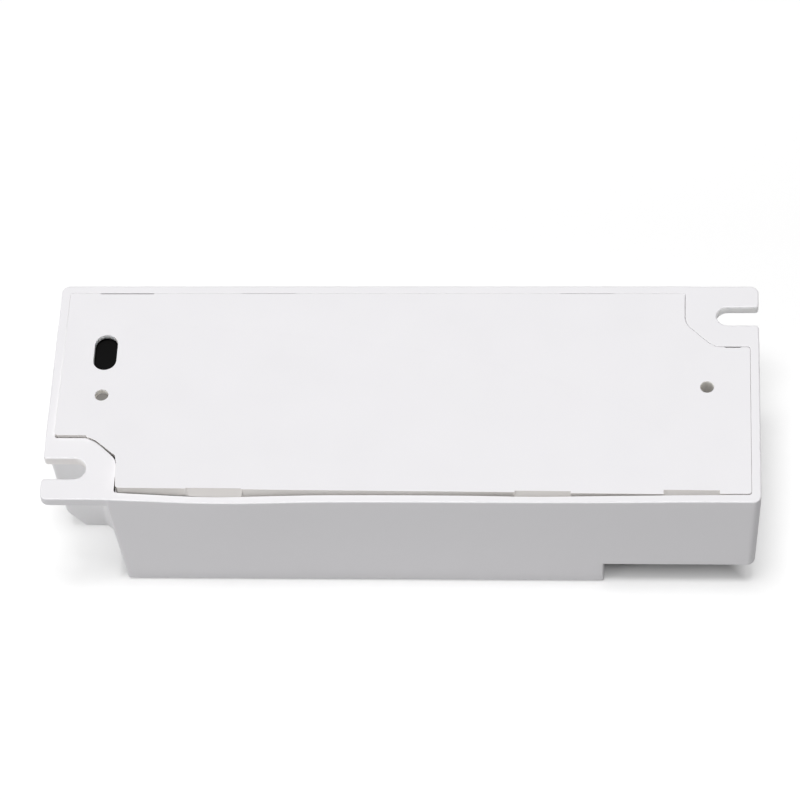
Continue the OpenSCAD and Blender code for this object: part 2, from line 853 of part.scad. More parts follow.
module filter_choke_core() {
    color("darkslategray") hang(choke_at) wound_core(choke_core_size, choke_leg);
}

module filter_choke_bobbin() {
    color("black") hang(choke_at) wound_bobbin(choke_core_size, choke_leg, 2);
}

module filter_choke_windings() {
    color("peru") hang(choke_at) wound_wire(choke_core_size, choke_leg, 2);
}

module boost_core() {
    color("darkslategray") hang(boost_at) wound_core(boost_core_size, choke_leg);
}

module boost_bobbin() {
    color("black") hang(boost_at) wound_bobbin(boost_core_size, choke_leg, 1);
}

module boost_winding() {
    color("peru") hang(boost_at) wound_wire(boost_core_size, choke_leg, 1);
}

module transformer_core() {
    color("darkslategray") hang(trafo_at) wound_core(trafo_core_size, trafo_leg);
}

module transformer_bobbin() {
    color("black") hang(trafo_at) wound_bobbin(trafo_core_size, trafo_leg, 1);
}

module transformer_winding() {
    color("gold") hang(trafo_at) wound_wire(trafo_core_size, trafo_leg, 1);
}

// Electrolytic can with its crimp groove, standing on its leads' end
module can(d, h) {
    r = d / 2;
    edge = 0.5;
    groove = 0.5;
    groove_z = 2;
    rotate_extrude() polygon([
        [0, 0], [r - edge, 0], [r, edge],
        [r, groove_z - groove], [r - groove, groove_z], [r, groove_z + groove],
        [r, h - edge], [r - edge, h], [0, h],
    ]);
}

module bulk_capacitor() {
    seat = 0.2;
    axis_z = bulk_d / 2 + seat;
    color("midnightblue") hang(bulk_at) {
        translate([bulk_l / 2, 0, axis_z]) rotate([0, -90, 0]) can(bulk_d, bulk_l);
        for (p = bulk_leads) {
            translate([bulk_l / 2 - past, p.y, axis_z]) rotate([0, 90, 0])
                cylinder(d = lead_d, h = bulk_bend + past);
            translate([p.x, p.y, axis_z]) sphere(d = lead_d);
        }
        leads(bulk_leads, axis_z);
    }
}

module output_capacitors() {
    color("midnightblue") for (at = output_cap_ats) hang(at) {
        can(output_cap_d, output_cap_h);
        leads(pair(wire_span), past);
    }
}

module optocoupler() {
    body = [6.4, 4.6, 3.2];
    stand = 0.5;
    shoulder = [3 * lead_d, lead_d, lead_d];
    shoulder_z = stand + body.z / 2;
    color("ivory") hang(opto_at) {
        translate([0, 0, stand]) block(body);
        for (p = opto_leads)
            translate([p.x - sign(p.x) * lead_d, p.y, shoulder_z - lead_d]) block(shoulder);
        leads(opto_leads, shoulder_z);
    }
}

// Drum core with the coil in its waist
drum_flange = 1.5;
drum_waist = drum_d / 4;

module output_choke_core() {
    r = drum_d / 2;
    upper = drum_h - drum_flange;
    color("darkslategray") hang(drum_at) {
        rotate_extrude() polygon([
            [0, 0], [r, 0], [r, drum_flange], [drum_waist, drum_flange],
            [drum_waist, upper], [r, upper], [r, drum_h], [0, drum_h],
        ]);
        leads(pair(drum_d / 2), past);
    }
}

module output_choke_winding() {
    margin = 0.3;
    coil_h = drum_h - 2 * drum_flange - 2 * wound_gap;
    color("peru") hang(drum_at) translate([0, 0, drum_flange + wound_gap]) difference() {
        cylinder(d = drum_d - 2 * margin, h = coil_h);
        translate([0, 0, -past]) cylinder(r = drum_waist + wound_gap, h = drum_h);
    }
}

// Flat parts on the solder side
module switching_transistor() {
    body = [6.6, 6.2, 2.3];
    tab = [5.2, 2.4, 0.6];
    leg = [0.8, 2.8, 0.6];
    color("black") solder_side(transistor_at) {
        block(body);
        translate([0, body.y / 2, 0]) block(tab);
        for (s = [-1, 1]) translate([s * body.x / 3, -body.y / 2, 0]) block(leg);
    }
}

module output_diode() {
    body = [7, 6, 2.3];
    foot = [1.4, 3, 0.4];
    color("black") solder_side(diode_at) {
        block(body);
        for (s = [-1, 1]) translate([s * body.x / 2, 0, 0]) block(foot);
    }
}

module control_chips() {
    body = [5, 4, 1.5];
    leg = [0.45, 6, 0.4];
    color("black") for (at = chip_ats) solder_side(at) {
        block(body);
        for (i = [0:3]) translate([(i - 1.5) * chip_pitch, 0, 0]) block(leg);
    }
}

module chip_components() {
    size = [2, 1.25, 0.6];
    pitch = 2.8;
    count = 5;
    clear = 4.6;
    color("tan") for (at = chip_ats) for (i = [0:count - 1])
        solder_side(at + [(i - (count - 1) / 2) * pitch, -clear]) block(size);
}

housing();
base_cover();
insulating_sheet();
circuit_board();
input_terminal_cover();
output_terminal_cover();
cover_screws();
input_terminal_block();
input_terminal_clamps();
output_terminal_block();
output_terminal_clamps();
fuse();
varistor();
thermistor();
mains_filter_capacitor();
filter_choke_core();
filter_choke_bobbin();
filter_choke_windings();
bridge_rectifier();
boost_core();
boost_bobbin();
boost_winding();
bulk_capacitor();
switching_transistor();
transformer_core();
transformer_bobbin();
transformer_winding();
safety_capacitor();
optocoupler();
output_diode();
output_capacitors();
output_choke_core();
output_choke_winding();
control_chips();
chip_components();
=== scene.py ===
"""LED driver in a white moulded housing, lying with its mounting base upward.

Sizes and places are millimetres in the shared frame unless a comment says metres. X runs to the mains end,
Y to the back and Z up. The specimen in the photograph is a little warped, so the housing and the base cover
are reshaped copies of their nodes. All other nodes keep their shape.
"""

import json
import math
from typing import NamedTuple

import bmesh
import bpy
from mathutils import Euler, Matrix, Vector


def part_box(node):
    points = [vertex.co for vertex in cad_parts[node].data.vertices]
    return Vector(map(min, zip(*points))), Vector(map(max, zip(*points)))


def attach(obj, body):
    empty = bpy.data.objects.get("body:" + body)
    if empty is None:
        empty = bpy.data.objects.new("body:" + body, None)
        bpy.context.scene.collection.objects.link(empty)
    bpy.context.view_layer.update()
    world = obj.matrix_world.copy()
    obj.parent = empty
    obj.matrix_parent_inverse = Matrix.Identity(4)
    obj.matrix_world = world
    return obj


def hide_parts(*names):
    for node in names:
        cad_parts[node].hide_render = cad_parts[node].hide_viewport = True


MM = 0.001

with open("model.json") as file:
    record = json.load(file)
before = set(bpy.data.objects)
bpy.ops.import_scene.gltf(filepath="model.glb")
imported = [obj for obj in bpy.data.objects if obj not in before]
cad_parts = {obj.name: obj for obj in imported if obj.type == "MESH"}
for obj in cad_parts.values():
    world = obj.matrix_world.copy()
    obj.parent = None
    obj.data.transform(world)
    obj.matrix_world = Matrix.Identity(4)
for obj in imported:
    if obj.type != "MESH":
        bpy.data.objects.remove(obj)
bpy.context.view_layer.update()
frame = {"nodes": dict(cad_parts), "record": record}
nodes = frame["nodes"]
scene = bpy.context.scene


# Shader nodes

WHITE = (1.0, 1.0, 1.0, 1.0)


def opaque(colour):
    return tuple(colour) + (1.0,)


def feed(tree, node, inputs):
    """Sets inputs of a shader node: each value is a constant or an output of another node."""
    for name, value in inputs.items():
        if isinstance(value, bpy.types.NodeSocket):
            tree.links.new(value, node.inputs[name])
        else:
            node.inputs[name].default_value = value


def added(tree, kind, inputs, operation=None):
    """New shader node with its operation and inputs set."""
    node = tree.nodes.new(kind)
    if operation:
        node.operation = operation
    feed(tree, node, inputs)
    return node


def noise(tree, place, size, detail):
    inputs = {"Vector": place, "Scale": 1 / (size * MM), "Detail": detail}
    return added(tree, "ShaderNodeTexNoise", inputs).outputs["Fac"]


def between_colours(tree, factor, first, second):
    mix = tree.nodes.new("ShaderNodeMix")
    mix.data_type = "RGBA"
    feed(tree, mix, {"Factor": factor, "A": first, "B": second})
    return mix.outputs["Result"]


# Materials

SCATTER_COLOUR = (1.0, 0.97, 0.94)
FINE_DETAIL = 2.0
BROAD_SIZE = 9.0
BROAD_DETAIL = 4.0
NOISE_LOW = 0.3
NOISE_HIGH = 0.7
LEAST_ROUGHNESS = 0.05
EDGE_RADIUS = 0.25
EDGE_SAMPLES = 4
EDGE_ALIGNMENT = 0.8
EDGE_WHITENING = 0.5
GRAIN_STRENGTH = 0.5
WAVE_STRENGTH = 0.8
WAVE_PITCH = 0.314  # metres from band to band of a wave texture at scale 1


class Waves(NamedTuple):
    """Ridges that follow each other along an axis."""
    axis: str
    pitch: float
    height: float


def rubbed_edges(tree, amount):
    """Output that grows where the normal of a slightly rounded surface leaves the true one."""
    soft = added(tree, "ShaderNodeBevel", {"Radius": EDGE_RADIUS * MM})
    soft.samples = EDGE_SAMPLES
    true = added(tree, "ShaderNodeNewGeometry", {})
    normals = {0: soft.outputs["Normal"], 1: true.outputs["Normal"]}
    alignment = added(tree, "ShaderNodeVectorMath", normals, "DOT_PRODUCT").outputs["Value"]
    span = {"Value": alignment, "From Min": 1.0, "From Max": EDGE_ALIGNMENT, "To Max": amount}
    return added(tree, "ShaderNodeMapRange", span).outputs["Result"]


def relief(tree, place, waves):
    """Normal of a surface with ridges."""
    bands = tree.nodes.new("ShaderNodeTexWave")
    bands.bands_direction = waves.axis
    bands.wave_profile = "SIN"
    feed(tree, bands, {"Vector": place, "Scale": WAVE_PITCH / (waves.pitch * MM)})
    bump = {"Strength": WAVE_STRENGTH, "Distance": waves.height * MM, "Height": bands.outputs["Fac"]}
    return added(tree, "ShaderNodeBump", bump).outputs["Normal"]


def surface(name, colour, roughness, metallic=0.0, grain=0.3, depth=0.02, mottle=0.06, spread=0.08,
            edge=0.12, stretch=(1, 1, 1), coat=0.0, waves=None, shine=0.5, scatter=0.0):
    """Finish with a fine grain, uneven gloss, faint mottling and rubbed edges."""
    material = bpy.data.materials.new(name)
    material.use_nodes = True
    tree = material.node_tree
    shader = tree.nodes["Principled BSDF"]
    feed(tree, shader, {"Metallic": metallic, "Coat Weight": coat, "Specular IOR Level": shine})
    if scatter:
        feed(tree, shader, {"Subsurface Weight": 1.0, "Subsurface Radius": SCATTER_COLOUR})
        feed(tree, shader, {"Subsurface Scale": scatter * MM})

    place = added(tree, "ShaderNodeTexCoord", {}).outputs["Object"]
    stretched = added(tree, "ShaderNodeMapping", {"Vector": place, "Scale": stretch}).outputs["Vector"]
    fine = noise(tree, stretched, grain, FINE_DETAIL)
    broad = noise(tree, stretched, BROAD_SIZE, BROAD_DETAIL)

    gloss = added(tree, "ShaderNodeMapRange", {
        "Value": broad,
        "From Min": NOISE_LOW,
        "From Max": NOISE_HIGH,
        "To Min": max(LEAST_ROUGHNESS, roughness - spread),
        "To Max": min(1.0, roughness + spread),
    })
    darker = opaque(c * (1 - mottle) for c in colour)
    lighter = opaque(c + (1 - c) * EDGE_WHITENING for c in colour)
    tint = between_colours(tree, broad, darker, opaque(colour))
    rubbed = between_colours(tree, rubbed_edges(tree, edge), tint, lighter)

    bump = {"Strength": GRAIN_STRENGTH, "Distance": depth * MM, "Height": fine}
    if waves:
        bump["Normal"] = relief(tree, place, waves)
    grained = added(tree, "ShaderNodeBump", bump).outputs["Normal"]
    feed(tree, shader, {"Roughness": gloss.outputs["Result"], "Base Color": rubbed, "Normal": grained})
    return material


MOULDED = dict(grain=0.25, depth=0.006, mottle=0.02)
MOULDED_EDGE = dict(roughness=0.5, grain=0.25, depth=0.006, edge=0.0)
HOLE = dict(roughness=0.55, grain=0.25, depth=0.01, mottle=0.1, edge=0.0)

LOOKS = {
    "white_plastic": dict(colour=(0.83, 0.82, 0.84), roughness=0.48, edge=0.1, **MOULDED),
    # Painted light: a lighter copy of the plastic, with real scattering under its surface, for the back-right
    # ear's slot walls and the oval window's wall
    "thin_edge": dict(colour=(0.985, 0.96, 0.95), scatter=9.0, mottle=0.02, **MOULDED_EDGE),
    # Painted light: a lighter copy of the plastic for the front-left ear's slot walls
    "slot_wall": dict(colour=(0.97, 0.945, 0.935), mottle=0.02, **MOULDED_EDGE),
    # Painted light: a lighter copy of the plastic for the bay under the front-left ear, which lies in the
    # ear's shade
    "bay_plastic": dict(colour=(0.92, 0.915, 0.925), roughness=0.48, edge=0.05, **MOULDED),
    # Painted shade: a darker copy of the plastic for the base cover's side faces, which stand in the gap at
    # the rim
    "cover_edge": dict(colour=(0.7, 0.675, 0.652), mottle=0.03, **MOULDED_EDGE),
    # Painted shade: a darker copy of the plastic for the faces of the notches in the base cover's edge
    "notch": dict(colour=(0.63, 0.607, 0.59), roughness=0.5, grain=0.25, depth=0.008, mottle=0.05, edge=0.0),
    "seam_shade": dict(colour=(0.27, 0.253, 0.24), roughness=0.7, grain=0.25, depth=0.006, edge=0.0,
                       shine=0.1),
    # Painted light: a lighter, warmer copy of the plastic, with real scattering under its surface, for the
    # walls of the round holes
    "hole_wall": dict(colour=(0.86, 0.84, 0.81), scatter=2.5, **HOLE),
    # Painted shade: a dark colour for the upward faces deep in the round holes
    "hole_floor": dict(colour=(0.2, 0.19, 0.178), **HOLE),
    "black_film": dict(colour=(0.005, 0.005, 0.005), roughness=0.6, grain=0.5, depth=0.01, edge=0.02,
                       shine=0.03),
    "board_laminate": dict(colour=(0.03, 0.13, 0.05), roughness=0.42, grain=0.4, waves=Waves("X", 0.8, 0.03)),
    "zinc_plated_steel": dict(colour=(0.62, 0.62, 0.6), roughness=0.34, metallic=1.0, grain=0.2, depth=0.01,
                              stretch=(1, 1, 6)),
    "terminal_plastic": dict(colour=(0.16, 0.17, 0.17), roughness=0.5, grain=0.2, depth=0.015),
    "terminal_brass": dict(colour=(0.71, 0.58, 0.32), roughness=0.33, metallic=1.0, grain=0.2, depth=0.01),
    "fuse_plastic": dict(colour=(0.2, 0.07, 0.03), roughness=0.4, grain=0.25, depth=0.012),
    "blue_epoxy": dict(colour=(0.03, 0.12, 0.42), roughness=0.3, grain=0.6, depth=0.04, coat=0.3),
    "green_epoxy": dict(colour=(0.08, 0.17, 0.06), roughness=0.35, grain=0.6, depth=0.04, coat=0.2),
    "yellow_plastic": dict(colour=(0.75, 0.6, 0.16), roughness=0.4, grain=0.25, depth=0.012),
    "ferrite": dict(colour=(0.05, 0.05, 0.055), roughness=0.55, grain=0.15, depth=0.03, mottle=0.2),
    "black_plastic": dict(colour=(0.022, 0.022, 0.024), roughness=0.45, grain=0.2, depth=0.012),
    "enamelled_wire": dict(colour=(0.55, 0.22, 0.07), roughness=0.3, metallic=0.7, grain=0.4, depth=0.01,
                           waves=Waves("X", 0.35, 0.12)),
    "winding_tape": dict(colour=(0.8, 0.62, 0.1), roughness=0.3, grain=0.5, depth=0.015, coat=0.3,
                         waves=Waves("X", 4.0, 0.05)),
    "moulded_epoxy": dict(colour=(0.03, 0.03, 0.032), roughness=0.55, grain=0.12),
    "pale_epoxy": dict(colour=(0.7, 0.68, 0.6), roughness=0.5, grain=0.15, depth=0.015),
    "capacitor_sleeve": dict(colour=(0.012, 0.018, 0.05), roughness=0.28, grain=0.6, coat=0.25),
    "chip_ceramic": dict(colour=(0.5, 0.4, 0.28), roughness=0.5, grain=0.1, depth=0.01),
}
FINISHES = {name: surface(name, **look) for name, look in LOOKS.items()}


# Sizes of the moulding, from the frame where a box of it tells them

housing_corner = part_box("housing")[1] / MM
cover_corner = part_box("base_cover")[1] / MM
HALF_LENGTH = housing_corner.x
HALF_WIDTH = housing_corner.y
TOP = housing_corner.z
COVER_X = cover_corner.x
COVER_Y = cover_corner.y
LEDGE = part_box("insulating_sheet")[1].z / MM

RIM = 1.6
RIM_X = HALF_LENGTH - RIM
RIM_Y = HALF_WIDTH - RIM
EAR_THICKNESS = 2.0
EAR_UNDER = TOP - EAR_THICKNESS
EAR_SEAM_X = 48.9
EAR_SEAM_Y = 9.2
STEP_LENGTH = 27.3
STEP_HEIGHT = 6.2
STEP_X = HALF_LENGTH - STEP_LENGTH
SLOT_WIDTH = 4.2
SLOT_LENGTH = 7.7
SLOT_INSET = 6.4
SLOT_END = HALF_LENGTH - SLOT_LENGTH
SLOT_Y = HALF_WIDTH - SLOT_INSET
NOTCH_WIDTH = 9.6
NOTCH_DEPTH = 0.9
NOTCH_HALF = NOTCH_WIDTH / 2
NOTCH_Y = COVER_Y - NOTCH_DEPTH
LEFT_NOTCH = -32.0
MIDDLE_NOTCH = 25.0
RIGHT_NOTCH = 50.6
FRONT_NOTCHES = (RIGHT_NOTCH, MIDDLE_NOTCH, LEFT_NOTCH)
BACK_NOTCHES = tuple(-x for x in FRONT_NOTCHES)
WINDOW_X = -53.5
WINDOW_Y = 8.0
WINDOW_STRETCH = 1.8
WINDOW_REACH = 2.4
HOLE_X = 53.3
HOLE_Y = 1.1
HOLE_REACH = 1.25

# How far from its nominal place a point still counts as lying there
FACE_NEAR = 0.05
NEAR = 0.1
EDGE_NEAR = 0.15
SLOT_END_NEAR = 0.2
SLOT_SIDE_NEAR = 0.3
NOTCH_NEAR = 0.25
RIM_NEAR = 0.3
STEP_NEAR = 0.75
TOP_NEAR = 0.5
UPPER = TOP - TOP_NEAR


def in_slot(x, y):
    """Whether a place is at one of the two ear slots."""
    across = abs(abs(y) - SLOT_Y) < SLOT_WIDTH / 2 + SLOT_SIDE_NEAR
    return x * y > 0 and abs(x) > SLOT_END - SLOT_END_NEAR and across


def in_window(x, y):
    """Whether a place is at the oval window of the base cover."""
    return math.hypot(x - WINDOW_X, (y - WINDOW_Y) / WINDOW_STRETCH) < WINDOW_REACH


def notch_at(x, notches, margin):
    """The notch that reaches over a place along the edge, or None."""
    return next((notch for notch in notches if abs(x - notch) < NOTCH_HALF + margin), None)


# Curves along a line, for the warps

class Ramp(NamedTuple):
    """Nothing up to start, then a smooth change to the whole height at end."""
    start: float
    end: float
    height: float = 1.0

    def at(self, place):
        t = min(1.0, max(0.0, (place - self.start) / (self.end - self.start)))
        return self.height * t * t * (3 - 2 * t)


class Plateau(NamedTuple):
    """Smooth rise from start to full, level up to fade, and smooth fall to nothing at end."""
    start: float
    full: float
    fade: float
    end: float
    height: float = 1.0

    def at(self, place):
        return Ramp(self.start, self.full, self.height).at(place) * Ramp(self.end, self.fade).at(place)


class Bump(NamedTuple):
    """Bell-shaped rise around a place."""
    place: float
    spread: float
    height: float

    def at(self, place):
        return self.height * math.exp(-((place - self.place) / self.spread) ** 2)


def total(curves, place):
    return sum(curve.at(place) for curve in curves)


# Warp of the housing: its front rim bows out, and the places at the ears are a little off

BOW = 0.26
BOW_HALF = 50.0
BOW_POWER = 4
BULGE = Bump(place=-31.0, spread=12.5, height=0.5)
BOW_UPWARD = Ramp(start=4.0, end=TOP)
BOW_FROM_Y = -15.0
BOW_FULL_Y = -18.0

# Inner face of the front rim
SET_BACK = 0.13
SET_BACK_BUMPS = (Bump(place=24.0, spread=9.0, height=0.22), Bump(place=-34.0, spread=7.0, height=0.12))
SET_BACK_SPAN = Plateau(start=-50.0, full=-46.0, fade=52.0, end=59.0)

# Side of the front-left ear, slot of the back-right ear and wall of the bay under the front-left ear
EAR_SIDE_LOW = -11.2
EAR_SIDE_HIGH = -9.4
EAR_SIDE_SHIFT = Ramp(start=-53.0, end=-54.6, height=0.28)
PINCHED_SLOT_X = 54.0
PINCHED_SLOT_Y = 14.0
SLOT_PINCH = Plateau(start=14.5, full=18.4, fade=18.6, end=20.5, height=0.28)
SLOT_PUSH = Ramp(start=59.0, end=56.5, height=0.18)
BAY_WALL_X = -49.5
BAY_WALL_LOW = -11.8
BAY_WALL_HIGH = -9.25
BAY_WALL_FOOT = 0.4


def bow(x):
    """How far the front rim stands out along its length."""
    return BOW * max(0.0, 1 - (x / BOW_HALF) ** BOW_POWER) + BULGE.at(x)


def set_back(x):
    """How far the inner face of the front rim stands back from its straight line."""
    return SET_BACK + total(SET_BACK_BUMPS, x)


def bowed(x, y, z):
    """Where a point of the housing goes."""
    forward = min(1.0, max(0.0, (BOW_FROM_Y - y) / (BOW_FROM_Y - BOW_FULL_Y)))
    shift = bow(x) * BOW_UPWARD.at(z) * forward
    if z > LEDGE - NEAR and abs(y + RIM_Y) < RIM_NEAR:
        shift += set_back(x) * SET_BACK_SPAN.at(x)
    if z > LEDGE - NEAR and EAR_SIDE_LOW < y < EAR_SIDE_HIGH:
        shift += EAR_SIDE_SHIFT.at(x)
    if x < BAY_WALL_X and BAY_WALL_LOW < y < BAY_WALL_HIGH and z < EAR_UNDER - NEAR:
        shift += BAY_WALL_FOOT * (EAR_UNDER - z) / EAR_UNDER
    if x > PINCHED_SLOT_X and y > PINCHED_SLOT_Y and z > EAR_UNDER - NEAR:
        shift += SLOT_PINCH.at(y)
        x += SLOT_PUSH.at(x)
    return x, y - shift, z


# Warp of the base cover: it has sprung up at the front left and reaches out to the rim

LIFT = 1.2
LIFT_FROM_X = 57.0
LIFT_FULL_X = -51.0
LIFT_HALF_Y = 21.0

# Tongue of the middle snap
SNAP_Y = -18.8
SNAP_REACH = 10.0
SNAP_GIVE = 0.27

# Front edge and its notches
FOOT = 0.03
FOOT_CURVES = (
    Ramp(start=-46.0, end=-38.0, height=-0.02),
    Ramp(start=-22.0, end=-8.0, height=0.13),
    Bump(place=31.0, spread=2.5, height=0.1),
)
NOTCH_FOOT = 0.1
NOTCH_FOLLOW = 0.95
HEAD_CURVES = (
    Plateau(start=-45.0, full=-20.0, fade=50.0, end=58.0, height=0.1),
    Plateau(start=27.0, full=31.0, fade=48.0, end=54.0, height=0.09),
)
FOOT_TO_HEAD = Ramp(start=26.8, end=27.8)
SLANTED_SIDE_X = -36.5
SIDE_SLANT = 0.6
FRONT_LEFT_X = -48.0
FRONT_LEFT_SHIFT = 0.2
NOTCH_MOUTH = COVER_Y - NEAR
KEPT_DEPTH = {LEFT_NOTCH: 0.05, MIDDLE_NOTCH: 0.15, RIGHT_NOTCH: 0.75}

# Edge along the front-left ear, where the diagonal has about the same sum of X and Y all along
DIAGONAL_LOW = -64.6
DIAGONAL_HIGH = -62.9
DIAGONAL_SHIFT = 0.12
DIAGONAL_EXTRA = Ramp(start=-51.0, end=-54.0, height=0.13)
DIAGONAL_END = (-49.9, -14.3)
DIAGONAL_OPENING = Bump(place=0.0, spread=0.8, height=0.18)
EAR_SEAM_CURVES = (Ramp(start=-17.8, end=-20.3, height=0.25), Ramp(start=-13.5, end=-15.0, height=-0.05))

# Oval window
WINDOW_SHIFT_X = 0.1
WINDOW_SHIFT_Y = 0.08
WINDOW_LENGTHENING = Ramp(start=8.5, end=11.7, height=0.17)
WINDOW_RELIEF = 0.45

# Back edge and its notches
BACK_SHIFT = 0.142
BACK_CORNER_X = -40.0
BACK_CORNER_FACE = 21.0
BACK_FACE = 21.11
BACK_KEPT_DEPTH = 0.07

# Edge along the back-right ear, and the two ends
WIDE_SEAM_START = 56.4
WIDE_SEAM_END = 59.1
WIDE_SEAM_Y = 9.8
MAINS_EAR_SHIFT = 0.08
MAINS_END_SHIFT = 0.12
OUTPUT_END_SHIFT = 0.145


def lift(x, y):
    """How far the cover has sprung up: nothing at the back and at the mains end."""
    along = max(0.0, (LIFT_FROM_X - x) / (LIFT_FROM_X - LIFT_FULL_X))
    return LIFT * max(0.0, (LIFT_HALF_Y - y) / (2 * LIFT_HALF_Y)) ** 2 * along


def front_edge(x, y, z, notch):
    """The front edge leans: its foot follows the bowed rim, and its head stays nearly straight."""
    if notch is None:
        foot = bow(x) + FOOT + total(FOOT_CURVES, x)
    else:
        foot = bow(x) + NOTCH_FOOT + NOTCH_FOLLOW * set_back(x)
    head = total(HEAD_CURVES, x)
    y -= foot + (head - foot) * FOOT_TO_HEAD.at(z)
    if notch == LEFT_NOTCH and x < SLANTED_SIDE_X and z < UPPER:
        x += SIDE_SLANT
    if x < FRONT_LEFT_X:
        x += FRONT_LEFT_SHIFT
    return x, y


def output_ear_edge(x, y, z):
    """The edge along the front-left ear: nearer on the diagonal, moved with the ear's side, open in front."""
    if DIAGONAL_LOW < x + y < DIAGONAL_HIGH and z > UPPER:
        shift = DIAGONAL_SHIFT + DIAGONAL_EXTRA.at(x)
        x -= shift
        y -= shift
    if y > EAR_SIDE_LOW:
        y -= EAR_SIDE_SHIFT.at(x)
    opening = DIAGONAL_OPENING.at(math.dist((x, y), DIAGONAL_END))
    x += opening
    y += opening
    return x + total(EAR_SEAM_CURVES, y), y


def window_edge(x, y, z):
    """The oval window is moved, let out at the back and relieved below."""
    if z < UPPER:
        z += WINDOW_RELIEF
    return x + WINDOW_SHIFT_X, y + WINDOW_SHIFT_Y + WINDOW_LENGTHENING.at(y), z


def back_notch(x, y):
    """The notches along the back are almost closed."""
    face = BACK_CORNER_FACE if x < BACK_CORNER_X else BACK_FACE
    return face + BACK_KEPT_DEPTH * (y - NOTCH_Y)


def mains_ear_edge(x, y):
    """The edge along the back-right ear comes nearer, but for a short length of it."""
    stands_off = WIDE_SEAM_START < x < WIDE_SEAM_END and y < WIDE_SEAM_Y
    return y - MAINS_EAR_SHIFT if stands_off else y + MAINS_EAR_SHIFT


def ends(x, y):
    """Both ends come nearer to the rim, and the end of the back-right ear's seam comes nearer to the ear."""
    if x > COVER_X - EDGE_NEAR:
        return x + MAINS_END_SHIFT
    if x < EDGE_NEAR - COVER_X:
        return x - OUTPUT_END_SHIFT
    return x + MAINS_EAR_SHIFT if x > EAR_SEAM_X and y > EAR_SEAM_Y else x


def lifted(x, y, z):
    """Where a point of the base cover goes."""
    rise = lift(x, y)
    if z < LEDGE - NEAR:
        # The tongue of the middle snap gives way where the cover has sprung up
        gives = y < SNAP_Y and abs(x - MIDDLE_NOTCH) < SNAP_REACH
        return x, y + SNAP_GIVE if gives else y, z + rise
    notch = notch_at(x, FRONT_NOTCHES, NEAR)
    if y < EDGE_NEAR - COVER_Y:
        x, y = front_edge(x, y, z, notch)
    elif notch is not None and y < NOTCH_NEAR - NOTCH_Y and z > UPPER:
        # The notches along the front are shallower where the cover has sprung up
        y = KEPT_DEPTH[notch] * (y + NOTCH_MOUTH) - NOTCH_MOUTH
    elif y < -EAR_SEAM_Y and x < -EAR_SEAM_X:
        x, y = output_ear_edge(x, y, z)
    elif in_window(x, y):
        x, y, z = window_edge(x, y, z)
    elif y > COVER_Y - EDGE_NEAR:
        y += BACK_SHIFT
    elif y > NOTCH_Y - NOTCH_NEAR:
        y = back_notch(x, y)
    elif y > EAR_SEAM_Y and x > EAR_SEAM_X:
        y = mains_ear_edge(x, y)
    return ends(x, y), y, z + rise


# Radii and finishes of the two warped pieces

SEAM_RADIUS = 0.06
RIM_RADIUS = 0.22
STEP_RADIUS = 0.4
OUTER_X = 60.0
OUTER_Y = 20.0
SHADED_SEAM_X = (-50.0, -48.5)
SHADED_SEAM_Y = (-21.3, -18.0)
BAY_X = -49.0
BAY_Y = (-21.8, -9.0)
BAY_TOP = EAR_UNDER - FACE_NEAR
BAY_END_X = -61.2
SEEN_DEPTH = 6.0

# Parts of a face's normal that tell which way it looks
LEVEL = 0.9995
NEARLY_LEVEL = 0.93
STEEP = 0.75
MOSTLY = 0.7
HALFWAY = 0.5
SLANTED = 0.35


def housing_radius(x, y, z):
    """Radius of an edge of the housing."""
    at_top = z > TOP - NEAR
    inside_rim = abs(x) < RIM_X + RIM_NEAR and abs(y) < RIM_Y + RIM_NEAR
    if at_top and inside_rim and not in_slot(x, y):
        return SEAM_RADIUS
    if at_top or abs(z - EAR_UNDER) < NEAR:
        return RIM_RADIUS
    if abs(x - STEP_X) < STEP_NEAR and z < STEP_HEIGHT + NEAR:
        return STEP_RADIUS
    if abs(z - STEP_HEIGHT) < NEAR and (abs(y) > OUTER_Y or x > OUTER_X):
        return STEP_RADIUS
    return 0.0


def cover_radius(x, y, z):
    """Radius of an edge of the base cover."""
    return SEAM_RADIUS if z > TOP - NEAR else 0.0


def housing_finish(middle, normal):
    """Finish of a face of the housing: the ear slot walls and the bay below the front-left ear get lighter
    copies of the plastic as painted light, and the wall beside the front-left seam gets painted shade.
    """
    x, y, z = middle
    # Painted light: the walls of the ear slots get lighter copies of the plastic
    if in_slot(x, y) and z > EAR_UNDER - NEAR and abs(normal.z) < HALFWAY:
        return "slot_wall" if x < 0 else "thin_edge"
    beside_seam = SHADED_SEAM_X[0] < x < SHADED_SEAM_X[1] and SHADED_SEAM_Y[0] < y < SHADED_SEAM_Y[1]
    if beside_seam and z > LEDGE - NEAR and normal.x > MOSTLY:
        return "seam_shade"
    in_bay = x < BAY_X and BAY_Y[0] < y < BAY_Y[1] and z < BAY_TOP
    end_wall = x < BAY_END_X and normal.x < -STEEP
    faces_out = normal.x < -SLANTED or normal.y < -HALFWAY and y > -OUTER_Y
    # Painted light: the bay's outward faces get a lighter copy of the plastic
    return "bay_plastic" if in_bay and faces_out and not end_wall else "white_plastic"


def hole_finish(middle, normal):
    """Finish of a face in one of the two round holes, or None: the walls get a lighter copy of the plastic as
    painted light, and the upward faces get painted shade.
    """
    for side in (-1, 1):
        inside = math.hypot(middle.x - side * HOLE_X, middle.y - side * HOLE_Y) < HOLE_REACH
        if inside and (middle.z < TOP - NEAR or normal.z < MOSTLY):
            return "hole_floor" if normal.z > MOSTLY else "hole_wall"
    return None


